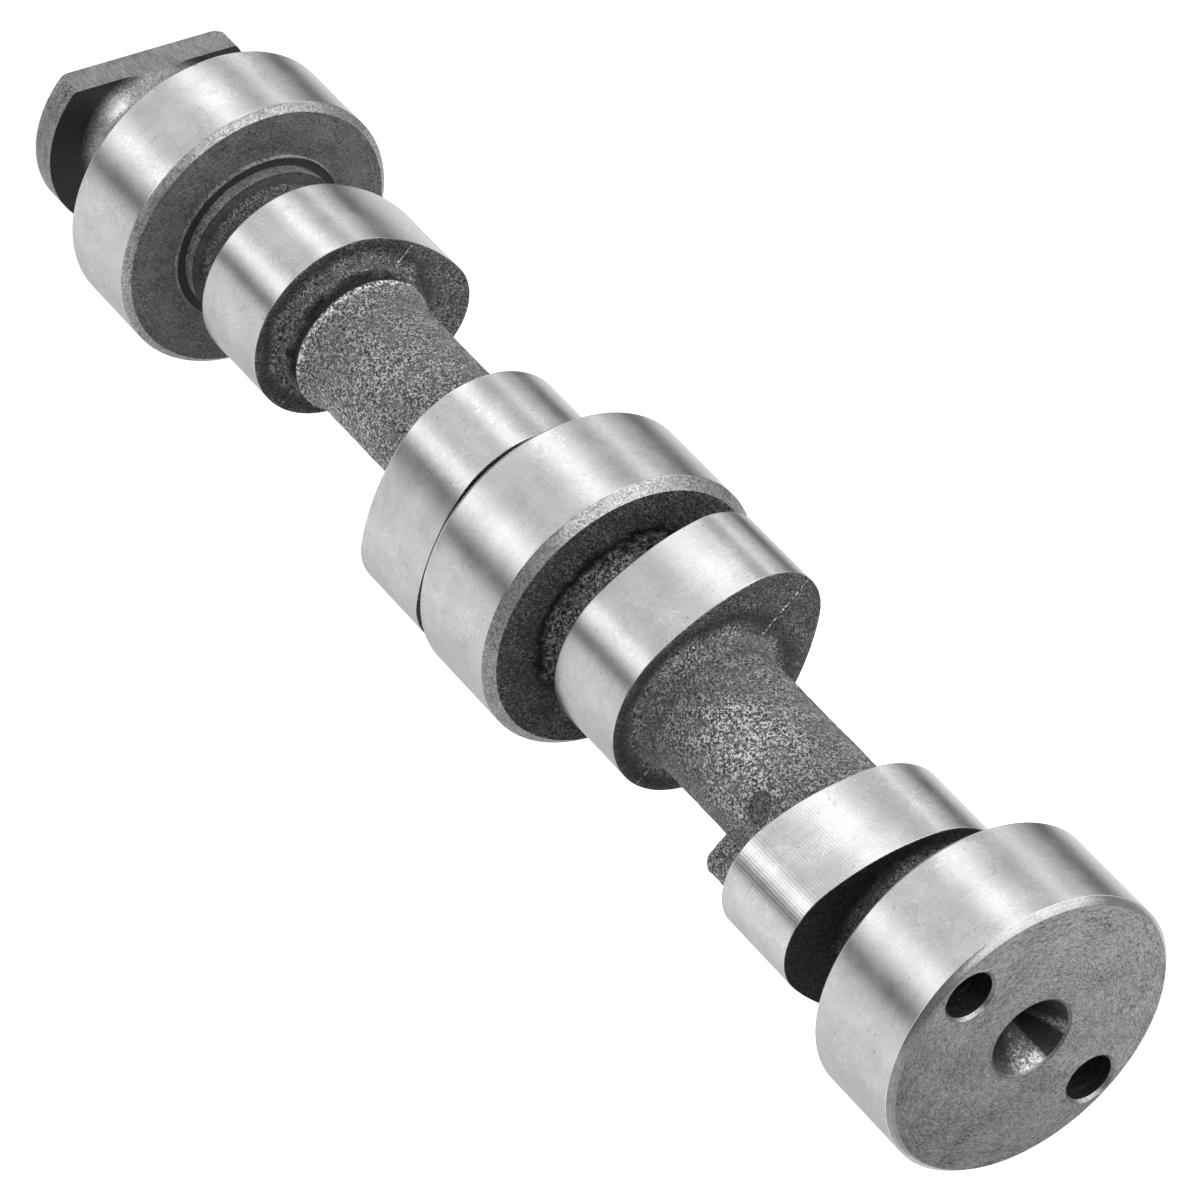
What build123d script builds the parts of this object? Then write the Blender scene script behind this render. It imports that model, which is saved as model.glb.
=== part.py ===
from build123d import *
from math import atan2, cos, degrees, radians, sin, sqrt, tan
import os

# Camshaft of a small two-cylinder engine, cast in one piece and ground: three journals, four lobes.
# It stands on its rear end plate with the front face up. The origin is the middle of the rear end
# face, Z is the shaft's axis, and X points to the first gear bolt hole. Sizes are millimetres.

# Ground journals, all of one diameter so that the shaft slides into its bearings from one side
journal_d = 42.0
rear_journal_len = 14.8
middle_journal_len = 17.2
front_journal_len = 16.6
rear_journal_chamfer = 1.0
middle_journal_chamfer = 1.4
front_journal_chamfer = 0.9

# Cam profile: base circle, nose circle and the large flank arcs that touch both. The lobes stay
# inside the journals' circle, so that they pass through the bearings
lobe_clearance = 0.45
lift = 6.45
nose_r = 9.5
flank_r = 32.4
lobe_width = 13.7
lobe_edge_break = 0.3

# Timing: direction of the first lobe's nose from X, the angle back to the same cylinder's other
# nose, and the angle between the two cylinders
first_nose_deg = 34.3
nose_spread_deg = 118.7
cylinder_step_deg = 180.0

# Cast roots, where the shaft flares out to a lobe or to a journal
lobe_root_height = 1.1
lobe_root_len = 3.1
journal_root_height = 1.9
journal_root_len = 2.0

# As-cast shaft between the journals and lobes; beside the middle journal the roots almost meet
front_neck_d = 19.2
front_neck_len = 7.4
front_shaft_d = 19.4
front_shaft_len = 32.8
middle_neck_d = 19.6
middle_neck_land = 0.4
middle_lobe_root_len = 2.6
rear_shaft_d = 18.9
rear_shaft_len = 31.8
rear_neck_d = 19.8
rear_neck_len = 8.6

# Step, groove and rounded collar on the front of the last lobe, cast by one mould half only
step_height = 0.85
step_len = 2.0
groove_depth = 0.3
groove_len = 2.1
collar_height = 0.95
collar_len = 0.7
collar_flare_len = 3.6

# Turned steps on the front of the rear journal
rear_boss_d = 26.0
rear_boss_len = 0.45
rear_step_d = 23.4
rear_step_len = 1.8

# Turned neck behind the rear journal, and the end plate with its milled drive flat
end_neck_d = 17.0
end_neck_len = 13.2
end_neck_fillet = 3.0
plate_d = 32.5
plate_thickness = 4.4
plate_edge_break = 0.6
plate_corner_r = 1.0
flat_to_axis = 9.8
flat_deg = -43.8

# Two holes tapped right through the front journal for the timing gear, at the tapping size
gear_hole_wall = 1.6
gear_hole_d = 6.8
gear_hole_chamfer = 0.4
gear_hole_run_out = 1.0

# Lathe centres of both ends
centre_cone_deg = 60.0
centre_guard_deg = 120.0
centre_guard_width = 0.4
front_centre_d = 11.4
front_pilot_d = 4.0
rear_centre_d = 7.4
rear_pilot_d = 2.5
pilot_len = 3.0
pilot_point_deg = 118.0

# Parting plane of the casting, and the stub of the gate left on it
parting_deg = 93.6
stub_from_lobe = 7.4
stub_len = 8.0
stub_width = 7.0
stub_height = 4.7
stub_side_r = 2.5
stub_top_r = 1.6

# Heights along the shaft, each one from the one before
middle_neck_len = journal_root_len + middle_neck_land + middle_lobe_root_len
plate_top = plate_thickness
rear_journal_start = plate_top + end_neck_len
rear_journal_end = rear_journal_start + rear_journal_len
lobe_4_start = rear_journal_end + rear_neck_len
lobe_4_end = lobe_4_start + lobe_width
lobe_3_start = lobe_4_end + rear_shaft_len
lobe_3_end = lobe_3_start + lobe_width
middle_journal_start = lobe_3_end + middle_neck_len
middle_journal_end = middle_journal_start + middle_journal_len
lobe_2_start = middle_journal_end + middle_neck_len
lobe_2_end = lobe_2_start + lobe_width
lobe_1_start = lobe_2_end + front_shaft_len
lobe_1_end = lobe_1_start + lobe_width
front_journal_start = lobe_1_end + front_neck_len
shaft_end = front_journal_start + front_journal_len

journal_r = journal_d / 2
base_circle_r = journal_r - lobe_clearance - lift
gear_hole_circle_r = journal_r - gear_hole_wall - gear_hole_d / 2
second_nose_deg = first_nose_deg - nose_spread_deg
lobe_noses = [
    (lobe_1_start, first_nose_deg),
    (lobe_2_start, second_nose_deg),
    (lobe_3_start, second_nose_deg + cylinder_step_deg),
    (lobe_4_start, first_nose_deg + cylinder_step_deg),
]

# A root is its height over the shaft and its length along it
lobe_root = (lobe_root_height, lobe_root_len)
middle_lobe_root = (lobe_root_height, middle_lobe_root_len)
journal_root = (journal_root_height, journal_root_len)


class HalfOutline:
    """Half outline of the turned body, walked from the rear end up to the front face."""

    def __init__(self):
        self.radius = 0.0
        self.height = 0.0
        self.edges = []

    def step(self, radius, height):
        """Moves to a radius and a height, and gives the two ends of the move."""
        start = (self.radius, 0, self.height)
        self.radius = radius
        self.height = height
        return start, (radius, 0, height)

    def line_to(self, radius, height):
        """Straight line to a radius and a height."""
        start, end = self.step(radius, height)
        self.edges.append(Line(start, end))

    def face_to(self, radius):
        """Flat face across the axis."""
        self.line_to(radius, self.height)

    def along_to(self, height):
        """Cylinder along the axis."""
        self.line_to(self.radius, height)

    def flare_in(self, height, length):
        """Root that leaves a face and runs out smoothly on the thinner shaft."""
        start, end = self.step(self.radius - height, self.height + length)
        self.edges.append(TangentArc(end, start, tangent=(0, 0, -1)))

    def flare_out(self, height, length):
        """Root that leaves the shaft smoothly and ends on a face."""
        start, end = self.step(self.radius + height, self.height + length)
        self.edges.append(TangentArc(start, end, tangent=(0, 0, 1)))

    def journal(self, length, chamfer):
        """Ground journal, chamfered at both ends."""
        start = self.height
        self.face_to(journal_r - chamfer)
        self.line_to(journal_r, start + chamfer)
        self.along_to(start + length - chamfer)
        self.line_to(journal_r - chamfer, start + length)

    def neck(self, diameter, end, lower_root, upper_root):
        """Cast length of shaft with a root at each end."""
        self.face_to(diameter / 2 + lower_root[0])
        self.flare_in(*lower_root)
        self.along_to(end - upper_root[1])
        self.flare_out(*upper_root)

    def solid(self):
        """Closes the outline along the axis and turns it into the body."""
        self.face_to(0.0)
        self.edges.append(Line((0, 0, self.height), (0, 0, 0)))
        return revolve(make_face(Wire(self.edges)), Axis.Z, 360)


def turned_body():
    """End plate, end neck, journals and cast shaft, without the lobes."""
    shaft = HalfOutline()

    shaft.face_to(plate_d / 2 - plate_edge_break)
    shaft.line_to(plate_d / 2, plate_edge_break)
    shaft.along_to(plate_top)
    shaft.face_to(end_neck_d / 2 + end_neck_fillet)
    shaft.flare_in(end_neck_fillet, end_neck_fillet)
    shaft.along_to(rear_journal_start)

    shaft.journal(rear_journal_len, rear_journal_chamfer)
    shaft.face_to(rear_boss_d / 2)
    shaft.along_to(rear_journal_end + rear_boss_len)
    shaft.face_to(rear_step_d / 2)
    shaft.along_to(rear_journal_end + rear_boss_len + rear_step_len)
    shaft.face_to(rear_neck_d / 2)
    shaft.along_to(lobe_4_start - lobe_root_len)
    shaft.flare_out(*lobe_root)
    shaft.along_to(lobe_4_end)

    grooved_root(shaft)
    shaft.along_to(lobe_3_start - lobe_root_len)
    shaft.flare_out(*lobe_root)
    shaft.along_to(lobe_3_end)
    shaft.neck(middle_neck_d, middle_journal_start, middle_lobe_root, journal_root)

    shaft.journal(middle_journal_len, middle_journal_chamfer)
    shaft.neck(middle_neck_d, lobe_2_start, journal_root, middle_lobe_root)
    shaft.along_to(lobe_2_end)
    shaft.neck(front_shaft_d, lobe_1_start, lobe_root, lobe_root)
    shaft.along_to(lobe_1_end)
    shaft.neck(front_neck_d, front_journal_start, lobe_root, journal_root)

    shaft.journal(front_journal_len, front_journal_chamfer)
    return shaft.solid()


def grooved_root(shaft):
    """Front of the last lobe: step, groove, then the collar that runs out on the rear shaft."""
    radius = rear_shaft_d / 2
    shaft.face_to(radius + step_height)
    shaft.along_to(lobe_4_end + step_len)
    shaft.face_to(radius - groove_depth)
    shaft.along_to(lobe_4_end + step_len + groove_len)
    shaft.face_to(radius + collar_height)
    shaft.along_to(lobe_4_end + step_len + groove_len + collar_len)
    shaft.flare_in(collar_height, collar_flare_len)


def turned_section(corners, from_deg=0.0, sweep_deg=360.0):
    """Solid turned about Z from (radius, height) corners, all round or through part of a turn."""
    section = make_face(Polyline([(radius, 0, height) for radius, height in corners], close=True))
    return revolve(section.rotate(Axis.Z, from_deg), Axis.Z, sweep_deg)


def plain_root_half():
    """The same root from the other mould half: a plain cone over the groove."""
    radius = rear_shaft_d / 2
    top = lobe_4_end + step_len + groove_len + collar_len
    inner = radius - groove_depth
    corners = [
        (inner, lobe_4_end),
        (radius + lobe_root_height, lobe_4_end),
        (radius + collar_height, top),
        (inner, top),
    ]
    return turned_section(corners, parting_deg, 180)


def lobe_outline():
    """Cam profile with its nose on X: nose arc, two flank arcs and the base circle arc."""
    nose_centre = base_circle_r + lift - nose_r
    to_base = flank_r - base_circle_r
    to_nose = flank_r - nose_r
    flank_x = (to_base**2 - to_nose**2 + nose_centre**2) / (2 * nose_centre)
    flank_y = -sqrt(to_base**2 - flank_x**2)
    nose_turn = atan2(-flank_y, nose_centre - flank_x)
    base_turn = atan2(-flank_y, -flank_x)

    def on_flank(turn, side):
        return flank_x + flank_r * cos(turn), side * (flank_y + flank_r * sin(turn))

    middle_turn = (nose_turn + base_turn) / 2
    nose_end, flank_middle, base_end = [on_flank(turn, 1) for turn in (nose_turn, middle_turn, base_turn)]
    nose_start, lower_middle, base_start = [on_flank(turn, -1) for turn in (nose_turn, middle_turn, base_turn)]
    return Wire([
        ThreePointArc(nose_start, (base_circle_r + lift, 0), nose_end),
        ThreePointArc(nose_end, flank_middle, base_end),
        ThreePointArc(base_end, (-base_circle_r, 0), base_start),
        ThreePointArc(base_start, lower_middle, nose_start),
    ])


def cam_lobe(start, nose_deg):
    """One ground lobe with its edges broken, at its height and angle."""
    lobe = extrude(make_face(lobe_outline()), lobe_width)
    rims = lobe.edges().group_by(Axis.Z)
    lobe = chamfer(rims[0] + rims[-1], lobe_edge_break)
    return Pos(0, 0, start) * Rot(0, 0, nose_deg) * lobe


def gate_stub():
    """Stub of the gate on the parting plane, broken off and rounded."""
    height = front_shaft_d / 2 + stub_height
    stub = Box(height, stub_width, stub_len, align=(Align.MIN, Align.CENTER, Align.MAX))
    stub = fillet(stub.edges().filter_by(Axis.X), stub_side_r)
    stub = fillet(stub.faces().sort_by(Axis.X)[-1].edges(), stub_top_r)
    return Rot(0, 0, parting_deg) * Pos(0, 0, lobe_1_start - stub_from_lobe) * stub


def gear_hole():
    """Hole at the tapping size, from the front face down through the journal, its mouth chamfered."""
    radius = gear_hole_d / 2
    bottom = -front_journal_len - gear_hole_run_out
    corners = [
        (0, 0),
        (radius + gear_hole_chamfer, 0),
        (radius, -gear_hole_chamfer),
        (radius, bottom),
        (0, bottom),
    ]
    return turned_section(corners)


def centre_hole(cone_d, pilot_d):
    """Lathe centre going down from a face: guard chamfer, cone and pilot drilling."""
    cone_r = cone_d / 2
    pilot_r = pilot_d / 2
    guard_depth = centre_guard_width / tan(radians(centre_guard_deg / 2))
    cone_end = guard_depth + (cone_r - pilot_r) / tan(radians(centre_cone_deg / 2))
    pilot_end = cone_end + pilot_len
    pilot_tip = pilot_end + pilot_r / tan(radians(pilot_point_deg / 2))
    corners = [
        (0, 0),
        (cone_r + centre_guard_width, 0),
        (cone_r, -guard_depth),
        (pilot_r, -cone_end),
        (pilot_r, -pilot_end),
        (0, -pilot_tip),
    ]
    return turned_section(corners)


def mill_drive_flat(shaft):
    """Mills the flat across the end plate and its fillet, and rounds the plate's two corners."""
    top = plate_top + end_neck_fillet
    waste = Box(plate_d, 2 * plate_d, top, align=(Align.MIN, Align.CENTER, Align.MIN))
    shaft -= Rot(0, 0, flat_deg) * Pos(flat_to_axis, 0, 0) * waste
    half_chord_deg = degrees(atan2(sqrt((plate_d / 2) ** 2 - flat_to_axis**2), flat_to_axis))
    corners = []
    for turn in (flat_deg - half_chord_deg, flat_deg + half_chord_deg):
        place = Rot(0, 0, turn) * Pos(plate_d / 2, 0, plate_top / 2)
        corners += shaft.edges().filter_by(Axis.Z).sort_by_distance(place.position)[:1]
    return fillet(corners, plate_corner_r)


def camshaft():
    """The whole shaft: turned body, roots, stub and lobes in one, then milled and drilled."""
    shaft = turned_body() + plain_root_half() + gate_stub()
    for start, nose_deg in lobe_noses:
        shaft += cam_lobe(start, nose_deg)
    shaft = mill_drive_flat(shaft)
    for side_deg in (0, 180):
        place = Rot(0, 0, side_deg) * Pos(gear_hole_circle_r, 0, shaft_end)
        shaft -= place * gear_hole()
    shaft -= Pos(0, 0, shaft_end) * centre_hole(front_centre_d, front_pilot_d)
    shaft -= Rot(180, 0, 0) * centre_hole(rear_centre_d, rear_pilot_d)
    return shaft


os.makedirs("parts", exist_ok=True)
export_step(camshaft(), "parts/camshaft.step")
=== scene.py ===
from math import atan2, cos, pi, radians, sin, sqrt

import bmesh
import bpy
import numpy as np
from mathutils import Matrix, Vector
from mathutils.geometry import tessellate_polygon


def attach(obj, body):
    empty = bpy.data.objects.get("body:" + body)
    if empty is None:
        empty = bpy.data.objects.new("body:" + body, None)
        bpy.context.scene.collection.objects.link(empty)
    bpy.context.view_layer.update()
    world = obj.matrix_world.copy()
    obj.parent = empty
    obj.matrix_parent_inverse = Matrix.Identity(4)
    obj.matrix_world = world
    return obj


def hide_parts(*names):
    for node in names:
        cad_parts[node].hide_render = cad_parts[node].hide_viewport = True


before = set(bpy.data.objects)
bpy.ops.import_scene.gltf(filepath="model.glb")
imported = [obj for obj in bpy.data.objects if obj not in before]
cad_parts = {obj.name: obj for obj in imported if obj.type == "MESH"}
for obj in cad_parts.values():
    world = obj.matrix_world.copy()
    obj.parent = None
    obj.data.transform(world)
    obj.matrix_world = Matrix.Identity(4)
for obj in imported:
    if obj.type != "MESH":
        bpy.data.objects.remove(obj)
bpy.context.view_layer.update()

# Cast shaft. The grey iron between the lobes and journals is left as it came out of the sand
# mould, with rounded roots at each face, a fine grain, and a low seam where the mould halves met.
# All sizes are millimetres on the shaft's axis, counted from the rear end.
MM = 0.001
JOIN_WITHIN = 0.0001 * MM
SHARP_EDGE = radians(32)
SHAFT_COLUMNS = 240
SKIN_STEP = 0.3
GROOVE_STEP = 0.15
SHAFT_ENDS = [30.0, 204.0]
SHAFT_R = 9.7
GROOVED_R = 9.45
# Stretches that show between the faces, and the radius from each height on
LAST_LOBE_FRONT = 54.7
CAST_STRETCHES = [
    (34.5, 41.0), (LAST_LOBE_FRONT, 64.0), (64.0, 86.5), (100.2, 105.2), (122.4, 127.4),
    (141.1, 173.9), (187.6, 195.0),
]
CAST_RADII = [(0.0, 9.9), (47.8, GROOVED_R), (93.3, 9.8), (134.2, SHAFT_R), (180.7, 9.6)]
# Each root: its face, 1 in front of the face and -1 behind it, how far it stands up, its length
ROOTS = [
    (41.0, -1, 1.1, 3.1), (86.5, -1, 1.1, 3.1), (100.2, 1, 1.1, 2.6), (105.2, -1, 1.9, 2.0),
    (122.4, 1, 1.9, 2.0), (127.4, -1, 1.1, 2.6), (141.1, 1, 1.1, 3.1), (173.9, -1, 1.1, 3.1),
    (187.6, 1, 1.1, 3.1), (195.0, -1, 1.9, 2.0),
]
ROOT_ENDS = 6.0
# In front of the last lobe: distance from its front, and how far the shaft stands up
STEP_START = -3.0
COLLAR_END = 4.8
COLLAR_RISE = 0.95
FLARE_LENGTH = 3.6
FLARE_END = 8.4
GROOVED_SIDE = [
    (STEP_START, 0.85), (1.8, 0.85), (2.05, -0.3), (4.0, -0.3), (4.15, 0.75), (4.45, 0.93),
    (COLLAR_END, COLLAR_RISE),
]
PLAIN_SIDE = [(STEP_START, 1.1), (0.0, 1.1), (COLLAR_END, COLLAR_RISE)]
# The mould's seam, and what darkens, lightens or roughens the skin: middle, half width, strength.
# The dark necks and root lines are painted shade, the lip's light a painted highlight, and the
# light on the seam's side painted light.
SEAM_TURN = radians(93.6)
SEAM_HEIGHT = 0.16
SEAM_HALF_WIDTH = 0.30
PAINTED_SHADE_NECKS = [(37.8, 3.0, 0.35), (102.7, 3.0, 0.5), (191.3, 4.2, 0.7)]
PAINTED_SHADE_ROOT_LINES = [(144.0, 0.35, 0.35), (171.2, 0.35, 0.25)]
RAGGED_RINGS = [
    (38.6, 1.2, 0.40), (56.2, 1.0, 0.30), (102.5, 2.0, 0.20), (125.6, 1.8, 0.30),
    (143.2, 1.3, 0.20), (172.0, 1.2, 0.12),
]
PAINTED_HIGHLIGHT_LIP = (LAST_LOBE_FRONT + 4.7, 0.45, 1.3)
LIGHT_NECK = (124.9, 2.4, 0.4)
PAINTED_LIGHT_SEAM_SIDE = (74.0, 14.0, 0.3)
# Oval spots on the shaft: angle and height of the middle, half lengths round and along the shaft
ROUGH_SPOT = (radians(3.0), 158.5, 7.4, 8.0)
DIMPLE = (radians(21.0), 164.9, 2.3, 1.8)
DIMPLE_DEPTH = 0.4


def lumps(points, size, seed):
    """Smooth random heights from -1 to 1. Each corner of a cubic lattice with this spacing has a
    random number, and a point blends the eight numbers around it with an S-shaped weight."""
    corners = 32
    lattice = np.random.default_rng(seed).uniform(-1, 1, (corners, corners, corners))
    cell = np.floor(points / size).astype(int)
    part = points / size - cell
    part = part * part * (3 - 2 * part)
    total = np.zeros(points.shape[:-1])
    for corner in np.ndindex(2, 2, 2):
        weight = np.prod(np.where(corner, part, 1 - part), axis=-1)
        i, j, k = np.moveaxis((cell + np.array(corner)) % corners, -1, 0)
        total += weight * lattice[i, j, k]
    return total


def around(radius, turn, height):
    """Points at a radius, an angle round the axis and a height: (r cos t, r sin t, z)."""
    radius, turn, height = np.broadcast_arrays(radius, turn, height)
    return np.stack([radius * np.cos(turn), radius * np.sin(turn), height], axis=-1)


def turns(count):
    """Evenly spaced angles once round the axis, as one row."""
    return np.linspace(0, 2 * pi, count, endpoint=False)[None, :]


def hill(distance):
    """Bell curve that is 1 at no distance: e to the power of minus the distance squared."""
    return np.exp(-(distance**2))


def band(height, middle, half_width, strength):
    """Bell-shaped band round the shaft: strength times hill((height - middle) / half width)."""
    return strength * hill((height - middle) / half_width)


def grid_faces(rows, columns, first=0):
    """Four-sided faces between neighbouring rows of points, closed round the axis."""
    index = first + np.arange(rows * columns).reshape(rows, columns)
    beside = np.roll(index, -1, axis=1)
    return np.stack([index[:-1], beside[:-1], beside[1:], index[1:]], axis=-1).reshape(-1, 4)


def solid_of_rows(points):
    """Points and faces of a solid made of rows round the axis, each end closed to its middle."""
    rows, columns = points.shape[:2]
    low, high = rows * columns, rows * columns + 1
    last = (rows - 1) * columns + np.arange(columns)
    first = np.arange(columns)
    bottom = np.stack([np.full(columns, low), np.roll(first, -1), first], axis=-1)
    top = np.stack([np.full(columns, high), last, np.roll(last, -1)], axis=-1)
    ends = [[points[0].mean(axis=0)], [points[-1].mean(axis=0)]]
    faces = grid_faces(rows, columns).tolist() + bottom.tolist() + top.tolist()
    return np.concatenate([points.reshape(-1, 3), *ends]), faces


def finish_numbers(finishes, used, times):
    """Number of each finish used, in a piece's list of finishes, repeated so many times."""
    return np.repeat([finishes.index(finish) for finish in used], times)


def finish_of_rows(finishes, bands, columns):
    """Number of each face's finish on such a solid, from the finish of each band between its rows.
    The two ends take the second finish."""
    ends = np.ones(2 * columns, dtype=int)
    return np.concatenate([finish_numbers(finishes, bands, columns), ends])


def new_object(name, data):
    """Adds an object to the scene."""
    added = bpy.data.objects.new(name, data)
    bpy.context.collection.objects.link(added)
    return added


def add_piece(name, points, faces, finishes, finish_of_face=None, shade=None):
    """Puts points in millimetres and faces into an object that rides on the camshaft's body.
    Points that fall together are joined."""
    mesh = bpy.data.meshes.new(name)
    mesh.from_pydata((points * MM).tolist(), [], faces)
    if finish_of_face is not None:
        mesh.polygons.foreach_set("material_index", np.asarray(finish_of_face, dtype=np.int32))
    if shade is not None:
        shades = mesh.attributes.new("shade", "FLOAT", "POINT").data
        shades.foreach_set("value", shade.astype(np.float32))
    joined = bmesh.new()
    joined.from_mesh(mesh)
    bmesh.ops.remove_doubles(joined, verts=joined.verts, dist=JOIN_WITHIN)
    joined.to_mesh(mesh)
    joined.free()
    for finish in finishes:
        mesh.materials.append(finish)
    mesh.polygons.foreach_set("use_smooth", np.ones(len(mesh.polygons), dtype=bool))
    mesh.set_sharp_from_angle(angle=SHARP_EDGE)
    mesh.update()
    piece = new_object(name, mesh)
    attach(piece, "root")
    return piece


class Value:
    """A socket's value. Arithmetic on it adds Math nodes to its material."""

    def __init__(self, nodes, socket):
        self.nodes = nodes
        self.socket = socket

    def math(self, operation, *inputs):
        """Result of a Math node on these inputs."""
        return self.nodes.node("ShaderNodeMath", {"operation": operation}, dict(enumerate(inputs)))

    def __add__(self, other):
        return self.math("ADD", self, other)

    def __sub__(self, other):
        return self.math("SUBTRACT", self, other)

    def __rsub__(self, other):
        return self.math("SUBTRACT", other, self)

    def __mul__(self, other):
        return self.math("MULTIPLY", self, other)

    def __truediv__(self, other):
        return self.math("DIVIDE", self, other)

    __radd__ = __add__
    __rmul__ = __mul__


class Nodes:
    """The nodes of one material or of the world."""

    def __init__(self, owner):
        owner.use_nodes = True
        self.tree = owner.node_tree

    def give(self, node, sockets):
        """Gives a node's sockets, by name or number, their values or links."""
        for socket, value in sockets.items():
            if isinstance(value, Value):
                self.tree.links.new(value.socket, node.inputs[socket])
            else:
                node.inputs[socket].default_value = value

    def node(self, kind, settings=None, sockets=None, output=0):
        """Adds a node, sets it, fills its sockets and gives back one of its outputs."""
        node = self.tree.nodes.new(kind)
        for key, setting in (settings or {}).items():
            if key == "stops":
                elements = node.color_ramp.elements
                while len(elements) < len(setting):
                    elements.new(1.0)
                for element, (position, grey) in zip(elements, setting):
                    element.position = position
                    element.color = (grey, grey, grey, 1.0)
            else:
                setattr(node, key, setting)
        self.give(node, sockets or {})
        return Value(self, node.outputs[output])

    def vector(self, operation, sockets, output="Vector"):
        """Sum, product, length or other result of a Vector Math node."""
        return self.node("ShaderNodeVectorMath", {"operation": operation}, sockets, output)

    def coordinates(self):
        """Object coordinates in millimetres."""
        place = self.node("ShaderNodeTexCoord", output="Object")
        return self.vector("SCALE", {0: place, "Scale": 1000.0})

    def stretched(self, place, x, y, z):
        """Coordinates with their own scale along each axis."""
        return self.vector("MULTIPLY", {0: place, 1: (x, y, z)})

    def from_axis(self, place):
        """Distance from the upright axis, the length of (x, y, 0)."""
        return self.vector("LENGTH", {0: self.stretched(place, 1, 1, 0)}, "Value")

    def along(self, place, axis):
        """One coordinate of a place."""
        return self.node("ShaderNodeSeparateXYZ", None, {0: place}, axis)

    def share_of_turn(self, place):
        """Angle round the upright axis as a share of a turn: arctangent(y, x) / 2 pi + 0.5."""
        x = self.along(place, "X")
        return x.math("ARCTAN2", self.along(place, "Y"), x) / (2 * pi) + 0.5

    def attribute(self, name):
        """What the mesh says at each point under this name."""
        return self.node("ShaderNodeAttribute", {"attribute_name": name}, output="Fac")

    def noise(self, place, scale, detail=3.0, roughness=0.5, distortion=0.0):
        """Smooth noise from 0 to 1, with so many waves a millimetre."""
        return self.node("ShaderNodeTexNoise", None, {
            "Vector": place, "Scale": scale, "Detail": detail, "Roughness": roughness,
            "Distortion": distortion,
        })

    def ramp(self, value, *stops):
        """Grey ramp given as (position, grey) stops."""
        return self.node("ShaderNodeValToRGB", {"stops": stops}, {0: value})

    def bump(self, height, millimetres):
        """Normal from a height of so many millimetres."""
        return self.node("ShaderNodeBump", None, {
            "Height": height, "Distance": millimetres * MM, "Strength": 1.0,
        })


class Finish(Nodes):
    """One material with a Principled BSDF."""

    def __init__(self, name):
        self.material = bpy.data.materials.new(name)
        super().__init__(self.material)

    def surface(self, sockets):
        """Gives the shader's sockets their values or links, and hands over the material."""
        self.give(self.tree.nodes["Principled BSDF"], sockets)
        return self.material


def cast_skin(name, dark, middle, light, relief, shaded=False):
    """Sand-cast iron: fine dark pits between light grains, strong in some patches and faint in
    others. A piece's shade, which carries painted shade and light, darkens or lightens it, and the
    grains stand out more where it is light."""
    skin = Finish(name)
    place = skin.coordinates()
    grains = skin.noise(place, 2.4, 2.0, 0.55, 0.7)
    fine = skin.noise(place, 4.4, 2.0, 0.6, 0.3)
    patches = skin.noise(place, 0.30, 3.0, 0.6)
    contrast = skin.ramp(patches, (0.38, 0.35), (0.62, 1.0))
    shade = 0.67 + skin.noise(place, 0.40, 3.0, 0.6) * 0.66
    coarse = 0.6
    if shaded:
        given = skin.attribute("shade")
        coarse = given.math("MAXIMUM", given * 1.3 - 0.8, 0.2)
        shade = shade * given
    level = 0.5 + ((grains - 0.5) * coarse + (fine - 0.5) * 0.9) * contrast
    return skin.surface({
        "Base Color": skin.ramp(level, (0.40, dark), (0.50, middle), (0.60, light)) * shade,
        "Metallic": 0.35, "Roughness": skin.ramp(grains, (0.35, 0.65), (0.65, 0.42)),
        "Normal": skin.bump(grains + fine * 0.4, relief),
    })


SHAFT_SKIN = cast_skin("shaft_cast_skin", 0.04, 0.17, 0.62, 0.40, True)


def near_mould_half(turn, soft=0.12):
    """1 on the side of the mould half that cast the groove, 0 on the other, with an S between that
    is steep or soft: 1 / (1 + e^(-d / soft)), where d is the distance from the parting plane."""
    return 1 / (1 + np.exp(-np.sin(SEAM_TURN - turn) * GROOVED_R / soft))


def shaft_radius(height, turn):
    """Radius of the cast shaft: plain steps between the lobes, plus at each face a root that leaves
    the shaft on a circle, R - sqrt(R^2 - s^2), where s runs from 0 at its start to the root's
    length at the face. In front of the last lobe the near mould half has a step, a groove and a
    collar, and the far half a plain cone. Both end in a flare that falls off with the square of
    the distance to its end."""
    radius = np.zeros(np.broadcast(height, turn).shape)
    for start, level in CAST_RADII:
        radius = np.where(height >= start, level, radius)
    rise = np.zeros_like(radius)
    for face, side, tall, length in ROOTS:
        bend = (length**2 + tall**2) / (2 * tall)
        along = np.clip(length - side * (height - face), 0, length)
        near = np.abs(height - face) < ROOT_ENDS
        rise = np.maximum(rise, np.where(near, bend - np.sqrt(bend**2 - along**2), 0))
    beyond = height - LAST_LOBE_FRONT
    flare = COLLAR_RISE * (np.clip(FLARE_END - beyond, 0, FLARE_LENGTH) / FLARE_LENGTH) ** 2
    grooved = np.interp(beyond, *zip(*GROOVED_SIDE))
    plain = np.interp(beyond, *zip(*PLAIN_SIDE))
    step = plain + (grooved - plain) * near_mould_half(turn)
    stepped = (beyond > STEP_START) & (beyond < FLARE_END)
    return radius + np.where(stepped, np.where(beyond > COLLAR_END, flare, step), rise)


def on_shaft(turn, height, spot):
    """Distance from an oval spot's middle on the shaft, 1 at its rim."""
    middle_turn, middle_height, half_around, half_along = spot
    apart = (turn - middle_turn + pi) % (2 * pi) - pi
    return np.hypot(apart * SHAFT_R / half_around, (height - middle_height) / half_along)


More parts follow.
